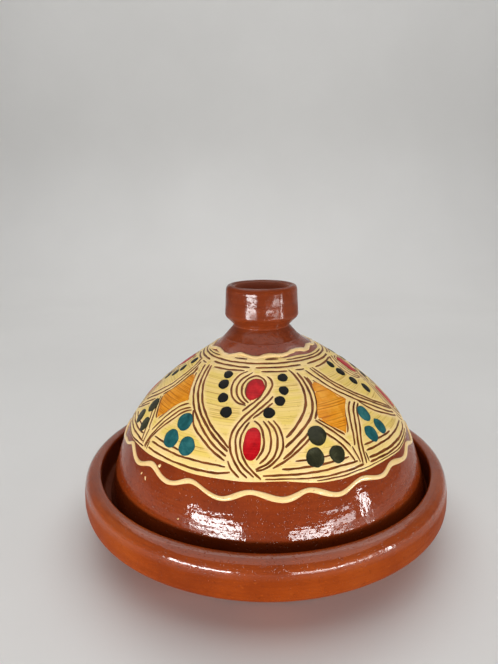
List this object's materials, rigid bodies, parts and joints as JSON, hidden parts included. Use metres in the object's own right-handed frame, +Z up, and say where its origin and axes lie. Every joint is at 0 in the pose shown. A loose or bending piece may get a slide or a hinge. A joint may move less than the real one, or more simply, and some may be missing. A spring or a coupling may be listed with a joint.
{
  "type": "tagine pot",
  "caption": "Round glazed terracotta cooking dish with an inner seat ledge and a domed conical lift-off lid with a cup-shaped knob and combed, painted slip decoration.",
  "frame": {"origin": "centre of the dish's flat underside", "axes": "+Z up through the knob; -Y towards the side with the medallion in front; +X to the right of that side"},
  "size_m": [0.3, 0.3, 0.1998],
  "materials": {
    "dish_glaze": "clear gloss glaze over red-brown terracotta",
    "lid_glaze": "clear gloss glaze over red-brown terracotta",
    "knob_glaze": "clear gloss glaze over red-brown terracotta",
    "pale_slip": "combed pale yellow slip under clear glaze",
    "trailed_slip": "raised cream slip under clear glaze",
    "black_glaze": "gloss",
    "red_glaze": "gloss",
    "green_glaze": "gloss",
    "teal_glaze": "gloss",
    "orange_glaze": "gloss"
  },
  "bodies": {
    "base": {"base_dish": "dish_glaze"},
    "lid": {"lid_dome": "lid_glaze", "lid_knob": "knob_glaze", "slip_coat": "pale_slip", "slip_wave_upper": "trailed_slip", "slip_wave_lower": "trailed_slip", "black_dots": "black_glaze", "red_seeds": "red_glaze", "green_dots": "green_glaze", "teal_dots": "teal_glaze", "orange_lozenges": "orange_glaze"}
  },
  "joints": [
    {"name": "lid_lift", "type": "slide", "parent": "base", "child": "lid", "axis": [0, 0, 1], "range_m": [0, 0.2]}
  ]
}
